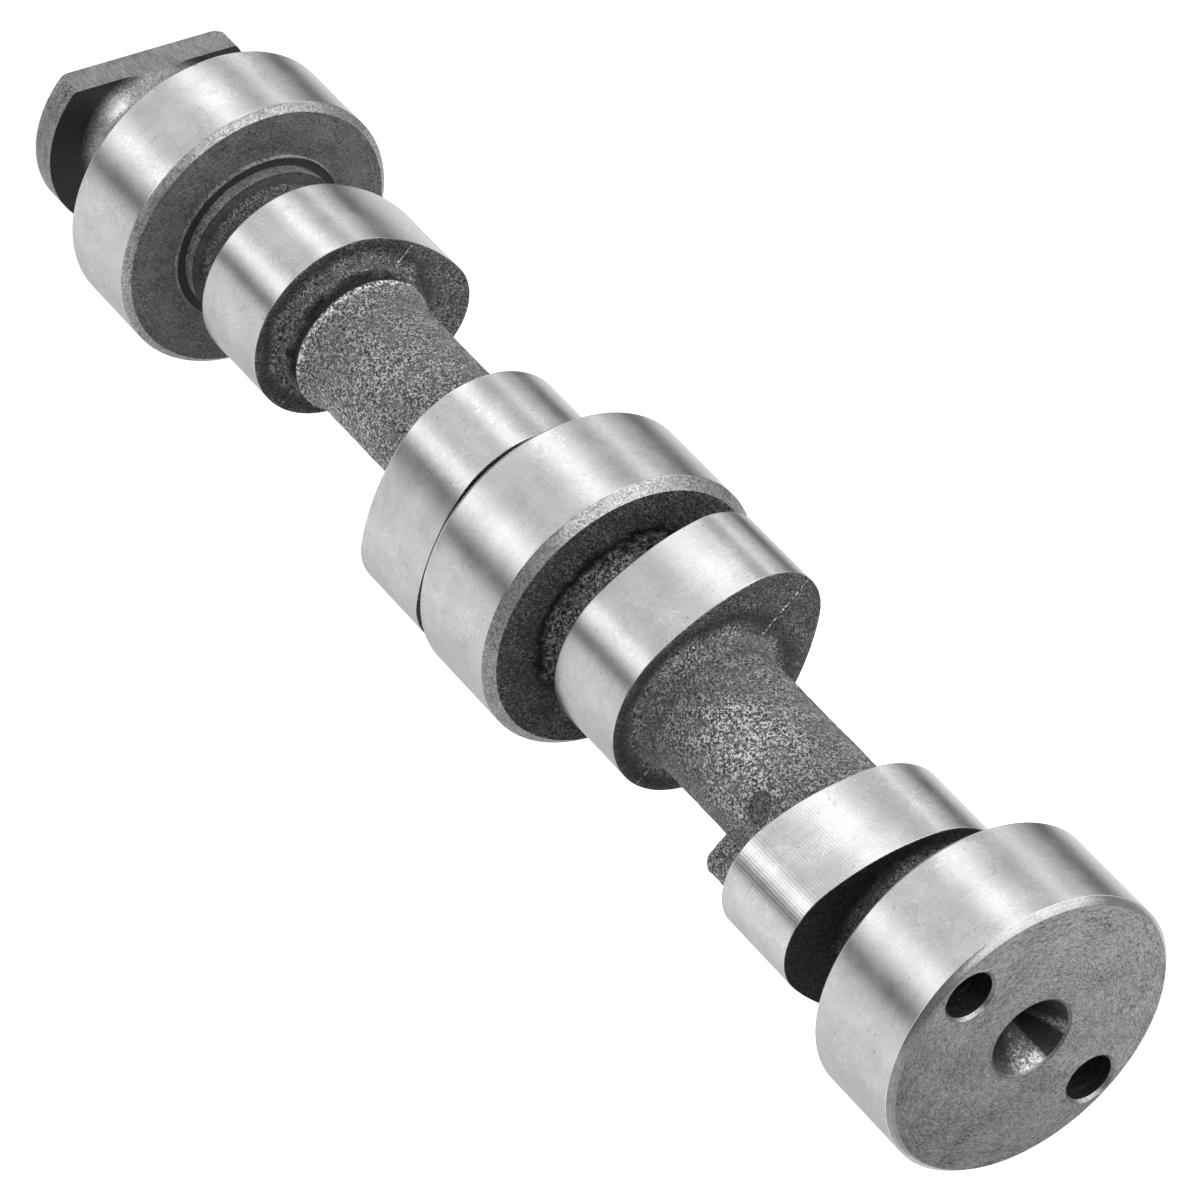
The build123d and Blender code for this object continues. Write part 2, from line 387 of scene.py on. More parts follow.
def cast_shaft_rows():
    """Rows of points, closer at the groove than elsewhere, and their shades. Lumps of three sizes,
    ragged rings at the roots, the low seam at the parting plane and a shallow oval dimple move
    each point along its radius. The shade is the product of what darkens the skin, which is
    painted shade in the necks, in the lines at the roots, in the ragged groove and in and round the
    dimple, and of what lightens it: the rough spot, a painted highlight on the collar's lip, one
    neck, and painted light on the seam's side of the second long stretch, away from the lamp."""
    heights = [SHAFT_ENDS]
    for low, high in CAST_STRETCHES:
        step = GROOVE_STEP if low == LAST_LOBE_FRONT else SKIN_STEP
        heights += [np.arange(low, high, step), [high + SKIN_STEP]]
    height = np.unique(np.round(np.concatenate(heights), 3))[:, None]
    turn = turns(SHAFT_COLUMNS)
    radius = shaft_radius(height, turn)
    points = around(radius, turn, height)
    seam = SEAM_HEIGHT * hill(radius * np.sin(turn - SEAM_TURN) / SEAM_HALF_WIDTH)
    skin = 0.06 * lumps(points, 2.6, 1) + 0.04 * lumps(points, 1.1, 2)
    skin = skin + 0.025 * lumps(points, 0.55, 3)
    ragged = sum(band(height, *ring) for ring in RAGGED_RINGS)
    skin = skin + ragged * (0.7 * lumps(points, 1.3, 4) + 0.4 * lumps(points, 0.7, 5))
    to_dimple = on_shaft(turn, height, DIMPLE)
    dimple = np.clip(2.5 * (1 - to_dimple), 0, 1)
    rows = around(radius + seam + skin - DIMPLE_DEPTH * dimple, turn, height)

    # Painted shade: the necks between the parts and the lines at the roots are darkened where shade
    # falls.
    dark = sum(deep * hill((height - middle) / width) ** 2 for middle, width, deep in PAINTED_SHADE_NECKS)
    wander = height - 0.5 * lumps(points, 2.0, 6)
    dark = dark + sum(band(wander, *line) for line in PAINTED_SHADE_ROOT_LINES)
    # Painted shade: the ragged groove in front of the last lobe is darkened, on the near mould
    # half.
    crevice = height - LAST_LOBE_FRONT + 0.45 * lumps(points, 1.2, 8)
    groove = np.interp(crevice, [1.5, 2.1, 4.1, 4.3], [0, 1, 1, 0]) * near_mould_half(turn, 0.6)
    from_spot = on_shaft(turn, height, ROUGH_SPOT) + 0.35 * lumps(points, 2.2, 7)
    light = 0.65 / (1 + np.exp((from_spot - 0.9) / 0.14))
    # Painted highlight: the collar's rounded lip is lightened.
    light = light + band(height, *PAINTED_HIGHLIGHT_LIP) * near_mould_half(turn) + band(height, *LIGHT_NECK)
    # Painted light: the second long stretch is lightened, most on the seam's side, away from the
    # lamp.
    light = light + band(height, *PAINTED_LIGHT_SEAM_SIDE) * (1 + np.cos(turn - SEAM_TURN))
    shade = (1 - np.clip(dark, 0, 0.8)) * (1 - 0.85 * groove) * (1 + light)
    # Painted shade: the dimple's floor is darkened, and most of all round its rim.
    shade = shade * (1 - 0.35 * dimple - 0.5 * hill((to_dimple - 0.9) / 0.15))
    return rows, np.append(shade.ravel(), [0.5, 0.5])


shaft_rows, shaft_shade = cast_shaft_rows()
cast_shaft = add_piece("cast_shaft", *solid_of_rows(shaft_rows), [SHAFT_SKIN], shade=shaft_shade)
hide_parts("camshaft")


# Gate stub. The iron ran into the mould through this gate beside the front lobe. It was knocked
# off and left as a rough rounded knob on the seam.
STUB_MIDDLE = 162.5
STUB_HALF_WIDTH = 3.5
STUB_HALF_HEIGHT = 4.0
STUB_BASE = 8.0
STUB_TOP = 14.4
STUB_ROUNDING = 1.6
ROUNDING_FROM = 0.55
STUB_SKIN = cast_skin("stub_cast_skin", 0.06, 0.24, 0.8, 0.4)


def stub_rows():
    """A rounded rectangle round the gate's own axis, |y/a|^4 + |z/b|^4 = 1, carried outwards from
    the shaft and drawn in at the top on a quarter circle, then roughened by lumps."""
    turn = turns(96)
    along = np.linspace(0, 1, 32)[:, None]
    corner = (np.abs(np.cos(turn)) ** 4 + np.abs(np.sin(turn)) ** 4) ** -0.25
    bend = np.clip((along - ROUNDING_FROM) / (1 - ROUNDING_FROM), 0, 1) * pi / 2
    width = 1 - 0.42 * (1 - np.cos(bend))
    rise = (STUB_TOP - STUB_ROUNDING - STUB_BASE) * np.clip(along / ROUNDING_FROM, 0, 1)
    out = STUB_BASE + rise + STUB_ROUNDING * np.sin(bend)
    across = STUB_HALF_WIDTH * corner * width * np.cos(turn)
    up = STUB_HALF_HEIGHT * corner * width * np.sin(turn)
    points = np.stack([out + 0 * across, across, STUB_MIDDLE + up], axis=-1)
    rough = 0.22 * lumps(points, 1.6, 11) + 0.12 * lumps(points, 0.7, 12) - 0.1
    outward = np.stack(np.broadcast_arrays(0.6 * along, np.cos(turn), np.sin(turn)), axis=-1)
    points = points + outward * (rough * np.clip(along * 3, 0, 1))[..., None]
    c, s = cos(SEAM_TURN), sin(SEAM_TURN)
    return points @ np.array([[c, s, 0], [-s, c, 0], [0, 0, 1]])


add_piece("gate_stub", *solid_of_rows(stub_rows()), [STUB_SKIN])


# Cam lobes. Four lobes of one profile stand on the cast shaft. Their rims are ground bright to
# the profile, and their sides are left as cast, dark, with the mould seam across them.
LOBE_WIDTH = 13.7
BASE_R = 14.1
LIFT = 6.45
NOSE_R = 9.5
FLANK_R = 32.4
EDGE_BREAK = 0.12
LOBE_COLUMNS = 1440
SIDE_FOOT_R = 7.0
SIDE_SHOWS_R = 9.0
SIDE_ROOT_R = 10.9
SIDE_SEAM_HEIGHT = 0.12
SIDE_SEAM_HALF_WIDTH = 0.12
WHEEL_MARK = 0.43
# Rows across a side as shares of the way from its foot to the rim, and rows on the rim, in from
# either side
SIDE_SHARES = np.array([0.0, 0.25, *np.linspace(0.36, 0.96, 10), 0.985, 1.0])
RIM_LEVELS = np.array([0.10, 0.14, 0.30, 5.0])
RIM_ROUNDING = 0.02
# Height of each lobe's rear side, where its nose points in degrees, and the ripple of its rim,
# which the rim's colour also repeats as a painted reflection
LOBES = {
    "lobe_1": (173.9, 34.3, 0.0035), "lobe_2": (127.4, -84.4, 0.0002),
    "lobe_3": (86.5, 95.6, 0.0002), "lobe_4": (41.0, 214.3, 0.0002),
}


def ground(name, shaded=False):
    """Ground iron: bright metal with fine marks round the rim, faint clouds, smears and small dark
    specks, and in places the outlines of old stains. It mirrors sharply round the rim and softly
    along the shaft, across the marks. A piece's shade, a painted reflection on the lobes' rims,
    darkens or lightens it."""
    steel = Finish(name)
    place = steel.coordinates()
    marks = steel.noise(steel.stretched(place, 0.15, 0.15, 7.0), 1.0, 3.0, 0.6)
    uneven = steel.noise(steel.stretched(place, 2.4, 2.4, 4.0), 1.0, 2.0, 0.6)
    clouds = steel.noise(place, 0.22, 5.0, 0.60)
    fine = steel.noise(place, 3.0, 3.0, 0.6)
    smears = steel.ramp(steel.noise(place, 0.55, 5.0, 0.7, 1.2), (0.57, 1.0), (0.72, 0.80))
    specks = steel.ramp(steel.noise(place, 1.2, 3.0, 0.6), (0.68, 1.0), (0.76, 0.5))
    rings = steel.noise(place, 0.30, 4.0, 0.6, 1.0)
    outlines = steel.ramp(rings, (0.52, 0.0), (0.535, 1.0), (0.55, 0.0))
    stained = steel.ramp(steel.noise(place, 0.12, 2.0, 0.5), (0.48, 0.0), (0.58, 0.17))
    tone = 0.61 + (clouds - 0.5) * 0.36 + (marks - 0.5) * 0.16 + (fine - 0.5) * 0.22
    tone = (tone + outlines * stained) * smears * specks
    if shaded:
        tone = tone * steel.attribute("shade")
    return steel.surface({
        "Base Color": tone, "Metallic": 1.0,
        "Roughness": steel.ramp(clouds, (0.3, 0.15), (0.7, 0.23)),
        "Anisotropic": 0.8, "Anisotropic Rotation": 0.25, "Normal": steel.bump(uneven, 0.004),
    })


LOBE_GROUND = ground("lobe_ground_rim", True)
LOBE_SIDE = cast_skin("lobe_cast_side", 0.02, 0.095, 0.34, 0.25, True)


def cam_radius(turn):
    """Distance from the axis to the lobe's rim at an angle from its nose: the far side of the nose
    circle, then of the flank circle that touches it, then the base circle."""
    nose_centre = BASE_R + LIFT - NOSE_R
    to_base = FLANK_R - BASE_R
    to_nose = FLANK_R - NOSE_R
    flank_x = (to_base**2 - to_nose**2 + nose_centre**2) / (2 * nose_centre)
    flank_y = -sqrt(to_base**2 - flank_x**2)
    touch_x = flank_x + FLANK_R * (nose_centre - flank_x) / to_nose
    touch_y = flank_y - FLANK_R * flank_y / to_nose
    turn = np.abs((turn + pi) % (2 * pi) - pi)
    inside = np.maximum(NOSE_R**2 - (nose_centre * np.sin(turn)) ** 2, 0)
    nose = nose_centre * np.cos(turn) + np.sqrt(inside)
    towards = flank_x * np.cos(turn) + flank_y * np.sin(turn)
    flank = towards + np.sqrt(FLANK_R**2 - to_base**2 + towards**2)
    after_nose = np.where(turn < atan2(-flank_y, -flank_x), flank, BASE_R)
    return np.where(turn < atan2(touch_y, touch_x), nose, after_nose)


def front_painted_shade(radius, covered):
    """Shade of a lobe's front side: plain where it stands free, and under the front journal a
    painted shade, dark from the root outwards, falling off on an S."""
    return 0.15 + 0.80 / (1 + np.exp((radius - 12.6) / 0.35)) if covered else 1.0


def lobe_rows(start, nose_turn, chatter, covered):
    """Rows that run out along the lower side, up the rim and back in along the upper side, and
    their shades. The cast sides carry lumps that fade out at the rim, and the rim a ripple of the
    grinding wheel that follows the length of the rim; the rim's shade repeats that ripple and
    lightens the rim as a painted reflection. The sides are light at the root, lighter on the seam
    as a painted highlight on its ridge, and dark round the root as painted shade."""
    turn = turns(LOBE_COLUMNS)
    rim = cam_radius(turn - radians(nose_turn))
    steps = np.hypot(np.roll(rim, -1) - rim, rim * 2 * pi / LOBE_COLUMNS)
    along = np.cumsum(steps, axis=1)
    ripple = np.sin(2 * pi * along / WHEEL_MARK) * (0.6 + 0.4 * np.sin(along / 5.1))
    rim = rim + chatter * ripple

    share = SIDE_SHARES[:, None]
    side_r = SIDE_FOOT_R + (rim - EDGE_BREAK - SIDE_FOOT_R) * share
    fade = np.clip((1 - share) * 12, 0, 1)
    flat = around(side_r, turn, start)
    seam = hill(side_r * np.sin(turn - SEAM_TURN) / SIDE_SEAM_HALF_WIDTH)
    relief = 0.06 * lumps(flat, 2.2, 21) + 0.04 * lumps(flat, 0.9, 22) + SIDE_SEAM_HEIGHT * seam
    relief = np.clip(np.where(side_r > SIDE_SHOWS_R, relief * fade, 0), -0.2, 0.2)
    from_root = side_r - SIDE_ROOT_R - 0.6 * lumps(flat, 2.4, 23)
    # The root's ring is lightened, and a ring outside it darkened as painted shade.
    root_light_and_painted_shade = 0.75 * hill(from_root / 0.9) - 0.6 * hill((from_root - 2.0) / 1.1)
    # Painted highlight: the seam across the side is lightened along its ridge.
    side_shade = 1 + 2.4 * seam * fade + root_light_and_painted_shade

    level = np.concatenate([RIM_LEVELS, LOBE_WIDTH - RIM_LEVELS[::-1]])[:, None]
    inset = np.zeros_like(level)
    inset[[0, -1]] = RIM_ROUNDING
    # Painted reflection: the rim's colour repeats the wheel's ripple and lifts the whole rim,
    # strongly on the front lobe.
    rim_painted_reflection = np.repeat(1 + 28.0 * chatter * (1 + ripple), len(level), axis=0)
    # Painted shade: under the front journal the front lobe's front side is darkened.
    upper_shade = side_shade * front_painted_shade(side_r, covered)
    shade = np.concatenate([side_shade, rim_painted_reflection, upper_shade[::-1]])
    lower = around(side_r, turn, start - relief)
    upper = around(side_r, turn, start + LOBE_WIDTH + relief)
    rows = np.concatenate([lower, around(rim - inset, turn, start + level), upper[::-1]])
    return rows, np.append(shade.ravel(), [0.5, 0.5])


lobe_finishes = [LOBE_GROUND, LOBE_SIDE]
side_bands = [LOBE_SIDE] * len(SIDE_SHARES)
lobe_bands = side_bands + [LOBE_GROUND] * (2 * len(RIM_LEVELS) - 1) + side_bands
lobe_finish = finish_of_rows(lobe_finishes, lobe_bands, LOBE_COLUMNS)
for lobe_name, (start, nose_turn, chatter) in LOBES.items():
    rows, lobe_shade = lobe_rows(start, nose_turn, chatter, lobe_name == "lobe_1")
    add_piece(lobe_name, *solid_of_rows(rows), lobe_finishes, lobe_finish, lobe_shade)


# Middle journal. A bearing of the shaft, its rim ground to size and its corners turned. Its sides
# are left as cast, coloured far darker than the lobes' sides as painted shade.
JOURNAL_R = 21.0
JOURNAL_COLUMNS = 720
MIDDLE_LOW = 105.2
MIDDLE_TOP = 122.4
MIDDLE_RIM = [
    (20.3, 105.9), (20.97, 106.57), (21.0, 106.65), (21.0, 106.8), (21.0, 113.8), (21.0, 120.8),
    (21.0, 120.95), (20.97, 121.03), (20.3, 121.7),
]
CREVICE_R = 13.0
SIDE_ROWS = 40


def turned(name, dark, light, rough, speckle, metallic=0.85):
    """Turned iron: a dull metal face, speckled, with fine rings round the axis."""
    face = Finish(name)
    place = face.coordinates()
    reach = face.from_axis(place)
    up = face.along(place, "Z")
    on_rings = {0: reach * 5.0, 1: up * 5.0, 2: reach * 0.03}
    rings = face.noise(face.node("ShaderNodeCombineXYZ", None, on_rings), 1.0, 3.0, 0.6)
    grains = face.noise(place, 3.2, 2.5, 0.6, 0.4)
    patches = face.ramp(face.noise(place, 0.22, 3.0, 0.6), (0.40, 0.5), (0.62, 1.0))
    clouds = face.noise(place, 0.35, 3.0, 0.6)
    marks = (grains - 0.5) * speckle + (rings - 0.5) * (1 - speckle)
    level = 0.5 + marks * patches + (clouds - 0.5) * 0.2
    return face.surface({
        "Base Color": face.ramp(level, (0.40, dark), (0.60, light)), "Metallic": metallic,
        "Roughness": rough, "Normal": face.bump(grains * speckle + rings * (1 - speckle), 0.03),
    })


JOURNAL_GROUND = ground("journal_ground_rim")
DULL_CORNER = turned("dull_turned_corner", 0.20, 0.57, 0.42, 0.95)
# Painted shade: the journal's cast sides take a far darker colour than the lobes' sides.
MIDDLE_SIDE_PAINTED_SHADE = cast_skin("middle_cast_side_painted_shade", 0.010, 0.042, 0.22, 0.3, True)


def journal_rows(profile):
    """A profile of (radius, height) corners carried round the axis."""
    profile = np.array(profile)
    return around(profile[:, :1], turns(JOURNAL_COLUMNS), profile[:, 1:])


def middle_rows():
    """The journal's profile with cast sides and corners, and its shades. Round the shaft each side
    rises in a ragged mound, lighter than the side, that ends at a crevice darkened as painted
    shade, whose distance from the axis wanders round the shaft."""
    across = np.linspace(9.0, 19.6, SIDE_ROWS)
    rear = [(radius, MIDDLE_LOW) for radius in across]
    front = [(radius, MIDDLE_TOP) for radius in across[::-1]]
    points = journal_rows([(7.0, MIDDLE_LOW)] + rear + MIDDLE_RIM + front + [(7.0, MIDDLE_TOP)])
    radius = np.hypot(points[..., 0], points[..., 1])
    wander = 0.7 * lumps(points, 6.0, 33) + 0.7 * lumps(points, 1.4, 34)
    inwards = CREVICE_R + wander + 0.4 * lumps(points, 0.7, 36) - radius
    rough = 0.06 * lumps(points, 1.8, 31) + 0.05 * lumps(points, 0.8, 32)
    mound = np.clip(inwards / 0.5, 0, 1) * (0.45 + 0.45 * lumps(points, 1.6, 35))
    relief = np.clip((JOURNAL_R - radius) / 1.2, 0, 1) * rough + mound
    side = np.zeros((len(points), 1))
    side[2:SIDE_ROWS] = -1
    side[-SIDE_ROWS:-2] = 1
    points[..., 2] += side * relief
    # Painted shade: the crevice at the mound's edge is darkened.
    shade = 1 + 1.6 * np.clip(inwards / 0.8, 0, 1) - 1.2 * hill((inwards + 0.2) / 0.6)
    return points, np.append(np.clip(shade, 0.08, 3).ravel(), [0.5, 0.5])


middle_points, middle_shade = middle_rows()
middle_finishes = [JOURNAL_GROUND, MIDDLE_SIDE_PAINTED_SHADE, DULL_CORNER]
middle_edge = [MIDDLE_SIDE_PAINTED_SHADE] * SIDE_ROWS + [DULL_CORNER] * 2
middle_bands = middle_edge + [JOURNAL_GROUND] * 6 + middle_edge[::-1]
middle_finish = finish_of_rows(middle_finishes, middle_bands, JOURNAL_COLUMNS)
middle_solid = solid_of_rows(middle_points)
add_piece("middle_journal", *middle_solid, middle_finishes, middle_finish, middle_shade)


# Rear journal. The rear bearing, turned all over, with two narrow turned steps on its front side.
# The walls of the steps are coloured light as painted light and their faces nearly black as painted
# shade.
REAR_SIDE = turned("rear_turned_side", 0.07, 0.27, 0.5, 0.75, 0.4)
REAR_BACK = turned("rear_turned_back", 0.30, 0.55, 0.4, 0.5)
# Painted light on the step walls and painted shade on the step faces: a lit and a shaded copy of
# one turned finish.
STEP_WALL_PAINTED_LIGHT = turned("rear_step_wall_painted_light", 0.16, 0.75, 0.50, 0.9)
STEP_FACE_PAINTED_SHADE = turned("rear_step_face_painted_shade", 0.015, 0.04, 0.55, 0.6, 0.3)
# Finish of each stretch, and the (radius, height) corners from which its bands start
REAR_PROFILE = [
    (REAR_BACK, [(7.0, 17.6), (8.0, 17.6), (14.0, 17.6), (19.9, 17.6)]),
    (DULL_CORNER, [(19.95, 17.6), (20.0, 17.62)]),
    (JOURNAL_GROUND, [
        (20.96, 18.56), (21.0, 18.65), (21.0, 18.8), (21.0, 31.2), (21.0, 31.35),
    ]),
    (DULL_CORNER, [(20.96, 31.44), (20.0, 32.38)]),
    (REAR_SIDE, [(19.95, 32.4), (19.8, 32.4), (16.0, 32.4), (13.1, 32.4)]),
    (STEP_WALL_PAINTED_LIGHT, [(13.05, 32.4), (13.0, 32.42), (13.0, 32.83)]),
    (STEP_FACE_PAINTED_SHADE, [(12.97, 32.85), (11.75, 32.85)]),
    (STEP_WALL_PAINTED_LIGHT, [(11.7, 32.88), (11.7, 33.5), (11.7, 34.1)]),
    (STEP_FACE_PAINTED_SHADE, [(11.7, 34.55)]),
    (REAR_SIDE, [(11.6, 34.65), (9.0, 34.65), (7.0, 34.65)]),
]
rear_corners = [corner for finish, corners in REAR_PROFILE for corner in corners]
rear_bands = [finish for finish, corners in REAR_PROFILE for corner in corners][:-1]
rear_finishes = [JOURNAL_GROUND, REAR_SIDE, DULL_CORNER, STEP_WALL_PAINTED_LIGHT, STEP_FACE_PAINTED_SHADE, REAR_BACK]
rear_finish = finish_of_rows(rear_finishes, rear_bands, JOURNAL_COLUMNS)
rear_solid = solid_of_rows(journal_rows(rear_corners))
add_piece("rear_journal", *rear_solid, rear_finishes, rear_finish)


# Front journal. The front bearing, whose turned face carries the timing gear: a lathe centre in
# the middle and two holes tapped right through for the gear's screws.
FRONT_LOW = 195.0
FRONT_TOP = 211.6
HOLE_PLACES = [(16.0, 0.0), (-16.0, 0.0)]
HOLE_R = 3.4
MOUTH_R = 3.8
MOUTH_DEPTH = 0.4
THREAD_PITCH = 1.25
THREAD_DEPTH = 0.12
THREAD_FADE = 1.2
THREAD_ROW = 0.156
HOLE_COLUMNS = 96
CENTRE_COLUMNS = 180
TURNED_CORNER = turned("turned_corner", 0.32, 0.54, 0.26, 0.6)
HOLE_MOUTH = turned("tapped_hole_mouth", 0.20, 0.50, 0.38, 0.9, 1.0)
# Painted shade: the holes' walls are coloured nearly black.
HOLE_WALL_PAINTED_SHADE = turned("tapped_hole_wall_painted_shade", 0.02, 0.09, 0.40, 0.2, 0.6)
CENTRE_RIM = turned("lathe_centre_rim", 0.14, 0.34, 0.40, 0.8)


def gear_face_finish():
    """Turned face that the gear has rubbed: short strokes round the axis, crossed by curls. A
    painted shade darkens the face and weakens its marks towards +y, so they are stronger and
    lighter on the other side."""
    face = Finish("gear_face_turned")
    place = face.coordinates()
    circle = face.vector("NORMALIZE", {0: face.stretched(place, 1, 1, 0)})
    circle = face.vector("SCALE", {0: circle, "Scale": 16.0})
    upright = face.node("ShaderNodeCombineXYZ", None, {2: face.from_axis(place) * 6.0})
    strokes = face.noise(face.vector("ADD", {0: circle, 1: upright}), 1.0, 3.0, 0.65, 1.2)
    curls = face.noise(place, 0.8, 6.0, 0.72, 3.0)
    grains = face.noise(place, 4.0, 2.0, 0.6)
    clouds = face.noise(place, 0.16, 2.0, 0.5)
    # Painted shade: the face darkens and its marks weaken towards +y.
    toward_painted_shade = face.along(place, "Y")
    rubbed = (strokes - 0.5) * 0.8 + (curls - 0.5) * 0.65 + (grains - 0.5) * 0.4
    level = 0.5 + rubbed * (1.0 - toward_painted_shade * 0.016) + (clouds - 0.5) * 0.22 - toward_painted_shade * 0.004
    return face.surface({
        "Base Color": face.ramp(level, (0.30, 0.12), (0.70, 0.80)), "Metallic": 0.85,
        "Roughness": 0.42, "Normal": face.bump(strokes + curls + grains, 0.02),
    })


def centre_finish():
    """Lathe centre's cone, coloured by its angle round the axis as painted reflection and shade,
    partly wear: dark, with a patch that crumbles to bright specks at its mouth, a dull spot
    opposite, and a black wedge between them."""
    cone = Finish("lathe_centre_cone")
    place = cone.coordinates()
    # Painted reflection and shade, partly wear: the cone's colour follows its angle round the axis.
    wedge = cone.ramp(
        cone.share_of_turn(place), (0.0, 0.02), (0.078, 0.02), (0.09, 0.30), (0.12, 0.28),
        (0.14, 0.04), (0.60, 0.04), (0.74, 0.07), (0.83, 0.10), (0.88, 0.42), (0.965, 0.55),
        (0.98, 0.02),
    )
    crumbs = cone.noise(place, 2.0, 4.0, 0.75, 0.8)
    worn = crumbs + (cone.from_axis(place) / 12.0 - 0.40)
    speckle = cone.ramp(worn, (0.42, 0.2), (0.52, 0.6), (0.60, 1.7))
    return cone.surface({
        "Base Color": wedge * speckle + 0.03, "Metallic": 0.7, "Roughness": 0.42,
        "Normal": cone.bump(crumbs, 0.12),
    })


def flat_faces(loops, points, upward):
    """Triangles of a flat face between an outer loop and the loops of its holes. Those whose cross
    product of two sides points the wrong way are turned over."""
    order = np.concatenate(loops)
    outlines = [[Vector(points[i]) for i in loop] for loop in loops]
    triangles = order[np.array(tessellate_polygon(outlines))]
    a, b, c = (points[triangles[:, k], :2] for k in range(3))
    turn = (b[:, 0] - a[:, 0]) * (c[:, 1] - a[:, 1]) - (b[:, 1] - a[:, 1]) * (c[:, 0] - a[:, 0])
    flip = (turn > 0) != upward
    triangles[flip] = triangles[flip][:, ::-1]
    return triangles


def hole_rows(centre):
    """Wall of one tapped hole: chamfered mouth, then a worn thread whose radius rises and falls
    with the height minus the pitch times the share of a turn, fading out at both ends."""
    turn = turns(HOLE_COLUMNS)
    thread = np.arange(FRONT_TOP - 0.55, FRONT_LOW + 0.1, -THREAD_ROW)
    mouth = [FRONT_TOP, FRONT_TOP - MOUTH_DEPTH]
    height = np.concatenate([mouth, thread, [FRONT_LOW]])[:, None]
    phase = (height / THREAD_PITCH - turn / (2 * pi)) % 1.0
    ridge = 1 - np.abs(2 * phase - 1)
    fade = np.clip((FRONT_TOP - 0.5 - height) / THREAD_FADE, 0, 1)
    fade = fade * np.clip((height - FRONT_LOW) / THREAD_FADE, 0, 1)
    wall = HOLE_R + THREAD_DEPTH * ridge * fade
    radius = np.where(height > FRONT_TOP - 0.1, MOUTH_R, wall)
    return around(radius, turn, height) + np.array([centre[0], centre[1], 0.0])


FRONT_PROFILE = [
    (19.9, 195.0), (20.1, 195.0), (20.15, 195.02), (20.96, 195.82), (21.0, 195.9),
    (21.0, 196.05), (21.0, 210.5), (21.0, 210.65), (20.96, 210.74), (20.22, 211.56),
    (20.12, 211.6), (19.9, 211.6),
]
CENTRE_PROFILE = np.array([
    (6.3, 211.6), (6.1, 211.6), (6.05, 211.58), (5.72, 211.38), (5.68, 211.33), (2.0, 204.96),
    (2.0, 201.96), (0.3, 200.8),
])
centre_rows = around(CENTRE_PROFILE[:, :1], turns(CENTRE_COLUMNS), CENTRE_PROFILE[:, 1:])
front_parts = [journal_rows(FRONT_PROFILE), centre_rows]
front_parts += [hole_rows(centre) for centre in HOLE_PLACES]
starts = np.cumsum([0] + [part.shape[0] * part.shape[1] for part in front_parts])
front_points = np.concatenate([part.reshape(-1, 3) for part in front_parts])


def loop_of(part, row):
    """Numbers of the points of one row of a part."""
    rows, columns = front_parts[part].shape[:2]
    return starts[part] + (row % rows) * columns + np.arange(columns)


GEAR_FACE = gear_face_finish()
CENTRE_CONE = centre_finish()
front_finishes = [
    JOURNAL_GROUND, GEAR_FACE, TURNED_CORNER, CENTRE_CONE, HOLE_WALL_PAINTED_SHADE, CENTRE_RIM, HOLE_MOUTH,
]
hole_bands = [HOLE_MOUTH] + [HOLE_WALL_PAINTED_SHADE] * (len(front_parts[2]) - 2)
FRONT_BANDS = [
    [TURNED_CORNER] * 3 + [JOURNAL_GROUND] * 5 + [TURNED_CORNER] * 2 + [GEAR_FACE],
    [GEAR_FACE] + [CENTRE_RIM] * 3 + [CENTRE_CONE] * 3, hole_bands, hole_bands,
]
# Loops round each flat face, whether it faces up, and its finish: gear face, rear side, cone's tip
FLAT_FACES = [
    ([loop_of(part, 0 if part else -1) for part in range(4)], True, GEAR_FACE),
    ([loop_of(0, 0), loop_of(2, -1), loop_of(3, -1)], False, TURNED_CORNER),
    ([loop_of(1, -1)], True, CENTRE_CONE),
]
front_faces = []
front_finish = []
for part, first, bands in zip(front_parts, starts, FRONT_BANDS):
    rows, columns = part.shape[:2]
    front_faces += grid_faces(rows, columns, first).tolist()
    front_finish.append(finish_numbers(front_finishes, bands, columns))
for loops, upward, finish in FLAT_FACES:
    triangles = flat_faces(loops, front_points, upward).tolist()
    front_faces += triangles
    front_finish.append(finish_numbers(front_finishes, [finish], len(triangles)))
add_piece("front_journal", front_points, front_faces, front_finishes, np.concatenate(front_finish))


# End plate and neck. The rear end is turned to a narrow neck and a thin plate, and one flat is
# milled across the plate and its fillet to drive what couples to the shaft's end.
PLATE_R = 16.25
PLATE_TOP = 4.4
NECK_R = 8.5
FILLET_R = 3.0
FLAT_TO_AXIS = 9.8
FLAT_TURN = radians(-43.8)
# Lathe centre, underside and rim of the plate
PLATE_PROFILE = [
    (0.3, 7.6), (1.25, 7.2), (1.25, 4.5), (3.7, 0.24), (4.1, 0.02), (4.15, 0.0), (4.3, 0.0),
    (9.0, 0.0), (15.4, 0.0), (15.6, 0.0), (15.7, 0.03), (16.2, 0.52), (PLATE_R, 0.62),
    (PLATE_R, 0.75), (PLATE_R, 4.2), (PLATE_R, 4.34), (16.2, PLATE_TOP),
]
PLATE_RIM = turned("end_plate_rim", 0.03, 0.34, 0.42, 0.5)


def neck_finish():
    """Turned neck with a painted highlight at one spot, that goes over its fillet into the plate's
    front, darkened as painted shade.
    """
    neck = Finish("end_neck_turned")
    place = neck.coordinates()
    grains = neck.noise(place, 3.2, 3.0, 0.6)
    # Painted shade: the plate's front, beyond the fillet, is darkened to a fifth.
    painted_shade_to_plate = neck.ramp(neck.from_axis(place) / 20.0, (0.49, 1.0), (0.57, 0.20))
    tone = neck.ramp(grains, (0.36, 0.18), (0.64, 0.44)) * painted_shade_to_plate * neck.attribute("shade")
    return neck.surface({
        "Base Color": tone, "Metallic": 0.85, "Roughness": 0.36,
        "Normal": neck.bump(grains, 0.05),
    })


